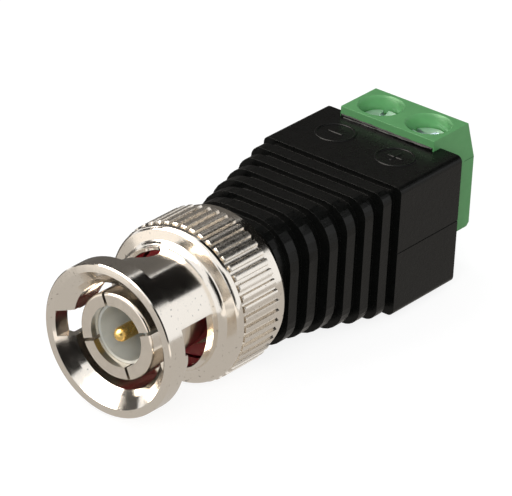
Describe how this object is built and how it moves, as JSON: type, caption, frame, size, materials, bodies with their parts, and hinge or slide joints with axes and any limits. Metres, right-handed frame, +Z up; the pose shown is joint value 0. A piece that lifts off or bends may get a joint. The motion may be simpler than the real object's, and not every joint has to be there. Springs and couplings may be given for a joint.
{
  "type": "coaxial bayonet plug with screw terminals",
  "caption": "Straight coaxial bayonet plug with a knurled coupling nut and a ribbed black boot that ends in a green screw terminal block for a two-wire cable.",
  "frame": {"origin": "centre of the coupling nut's front face, on the plug's axis", "axes": "+X along the plug's axis, out of its mouth; +Z up, the side that the terminal screws face; +Y to the left when looking along +X"},
  "size_m": [0.0457, 0.0158, 0.015],
  "materials": {
    "nickel": "bright nickel plate",
    "nickel_contact": "bright nickel plate",
    "steel": "plain",
    "gold": "gold plated",
    "insulator": "smooth",
    "silicone": "satin",
    "boot": "fine grained",
    "green": "satin",
    "tinned": "tinned",
    "zinc": "zinc plated",
    "wire_red": "smooth",
    "wire_black": "smooth"
  },
  "bodies": {
    "plug": {"plug_body": "nickel", "outer_contact": "nickel_contact", "front_insulator": "insulator", "centre_pin": "gold", "rear_insulator": "insulator", "gasket": "silicone", "boot": "boot", "terminal_block": "green", "contact_strip_signal": "tinned", "contact_strip_ground": "tinned", "signal_wire": "wire_red", "ground_wire": "wire_black", "wave_spring": "steel"},
    "thrust": {"thrust_washer": "steel"},
    "nut": {"coupling_nut": "nickel", "retaining_ring": "steel"},
    "screw_signal": {"clamp_screw_signal": "zinc"},
    "screw_ground": {"clamp_screw_ground": "zinc"},
    "cage_signal": {"clamp_cage_signal": "zinc"},
    "cage_ground": {"clamp_cage_ground": "zinc"}
  },
  "joints": [
    {"name": "nut_travel", "type": "slide", "parent": "plug", "child": "thrust", "axis": [1, 0, 0], "range_m": [0, 0.0006], "stiffness_N_per_m": 5000, "springref_m": -0.0004, "deforming": ["wave_spring"]},
    {"name": "nut_turn", "type": "hinge", "parent": "thrust", "child": "nut", "pos_m": [0, 0, 0], "axis": [1, 0, 0], "continuous": true},
    {"name": "screw_turn_signal", "type": "hinge", "parent": "plug", "child": "screw_signal", "pos_m": [-0.0417, 0.00274, 0.0035], "axis": [0, 0, -1], "range_deg": [0, 1600]},
    {"name": "screw_turn_ground", "type": "hinge", "parent": "plug", "child": "screw_ground", "pos_m": [-0.0417, -0.00274, 0.0035], "axis": [0, 0, -1], "range_deg": [0, 1600]},
    {"name": "clamp_lift_signal", "type": "slide", "parent": "plug", "child": "cage_signal", "axis": [0, 0, 1], "range_m": [0, 0.002]},
    {"name": "clamp_lift_ground", "type": "slide", "parent": "plug", "child": "cage_ground", "axis": [0, 0, 1], "range_m": [0, 0.002]}
  ]
}
